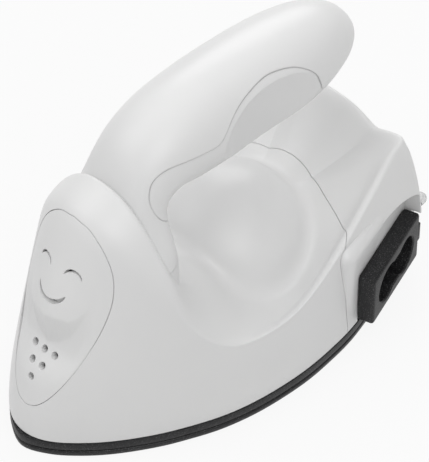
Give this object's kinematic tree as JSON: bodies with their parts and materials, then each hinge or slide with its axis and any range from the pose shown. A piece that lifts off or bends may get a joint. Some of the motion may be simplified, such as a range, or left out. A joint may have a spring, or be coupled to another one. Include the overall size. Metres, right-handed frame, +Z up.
{
  "type": "mini craft iron",
  "caption": "Small travel-size iron for craft work with a pointed sole, an open-ended arched handle, a turned figure-8 appliance inlet and a simple smiling face insert in its nose.",
  "frame": {"origin": "middle of the sole, on the surface that the iron rests on", "axes": "+Z up out of the sole, +Y from the nose to the heel, +X to the side with the inlet"},
  "size_m": [0.0583, 0.0946, 0.0686],
  "materials": {
    "white_plastic": "satin moulded",
    "black_plastic": "fine matt moulded",
    "sole_coating": "dark non-stick coating on cast aluminium",
    "steel": "bright zinc plated",
    "brass": "rolled",
    "mica": "pressed mica sheet",
    "ceramic": "unglazed ceramic",
    "wire_sleeve": "glass fibre sleeve",
    "clear_rubber": "clear, glossy"
  },
  "bodies": {
    "iron": {"body_shell": "white_plastic", "clamp_plate": "steel", "clamp_screw_1": "steel", "clamp_screw_2": "steel", "clamp_screw_3": "steel", "face_insert": "white_plastic", "fixed_contact": "brass", "fuse_sleeve": "ceramic", "fuse_wire": "wire_sleeve", "handle_lower_shell": "white_plastic", "handle_screw_1": "steel", "handle_screw_2": "steel", "handle_upper_shell": "white_plastic", "heat_skirt": "black_plastic", "heater_element": "mica", "heater_rivet_1": "brass", "heater_rivet_2": "brass", "heel_bumper_left": "clear_rubber", "heel_bumper_right": "clear_rubber", "inlet_body": "black_plastic", "inlet_pin_live": "steel", "inlet_pin_neutral": "steel", "insulating_sheet": "mica", "link_wire": "wire_sleeve", "live_wire": "wire_sleeve", "neutral_wire": "wire_sleeve", "rear_cover": "white_plastic", "skirt_screw_1": "steel", "skirt_screw_2": "steel", "skirt_screw_3": "steel", "skirt_screw_4": "steel", "skirt_screw_5": "steel", "skirt_screw_6": "steel", "soleplate": "sole_coating", "thermal_fuse": "steel", "thermostat_base": "ceramic"},
    "bimetal": {"bimetal_blade": "steel", "push_pin": "ceramic"},
    "contact_arm": {"contact_arm": "brass"}
  },
  "joints": [
    {"name": "bimetal_bend", "type": "hinge", "parent": "iron", "child": "bimetal", "pos_m": [0, 0.01778, 0.0098], "axis": [-1, 0, 0], "range_deg": [0, 2.5], "stiffness_Nm_per_rad": 0.02},
    {"name": "contact_lift", "type": "hinge", "parent": "iron", "child": "contact_arm", "pos_m": [0, 0.01778, 0.0148], "axis": [-1, 0, 0], "range_deg": [0, 2.5], "stiffness_Nm_per_rad": 0.02}
  ],
  "couplings": [
    {"joint": "contact_lift", "follows": "bimetal_bend", "ratio": 1}
  ]
}
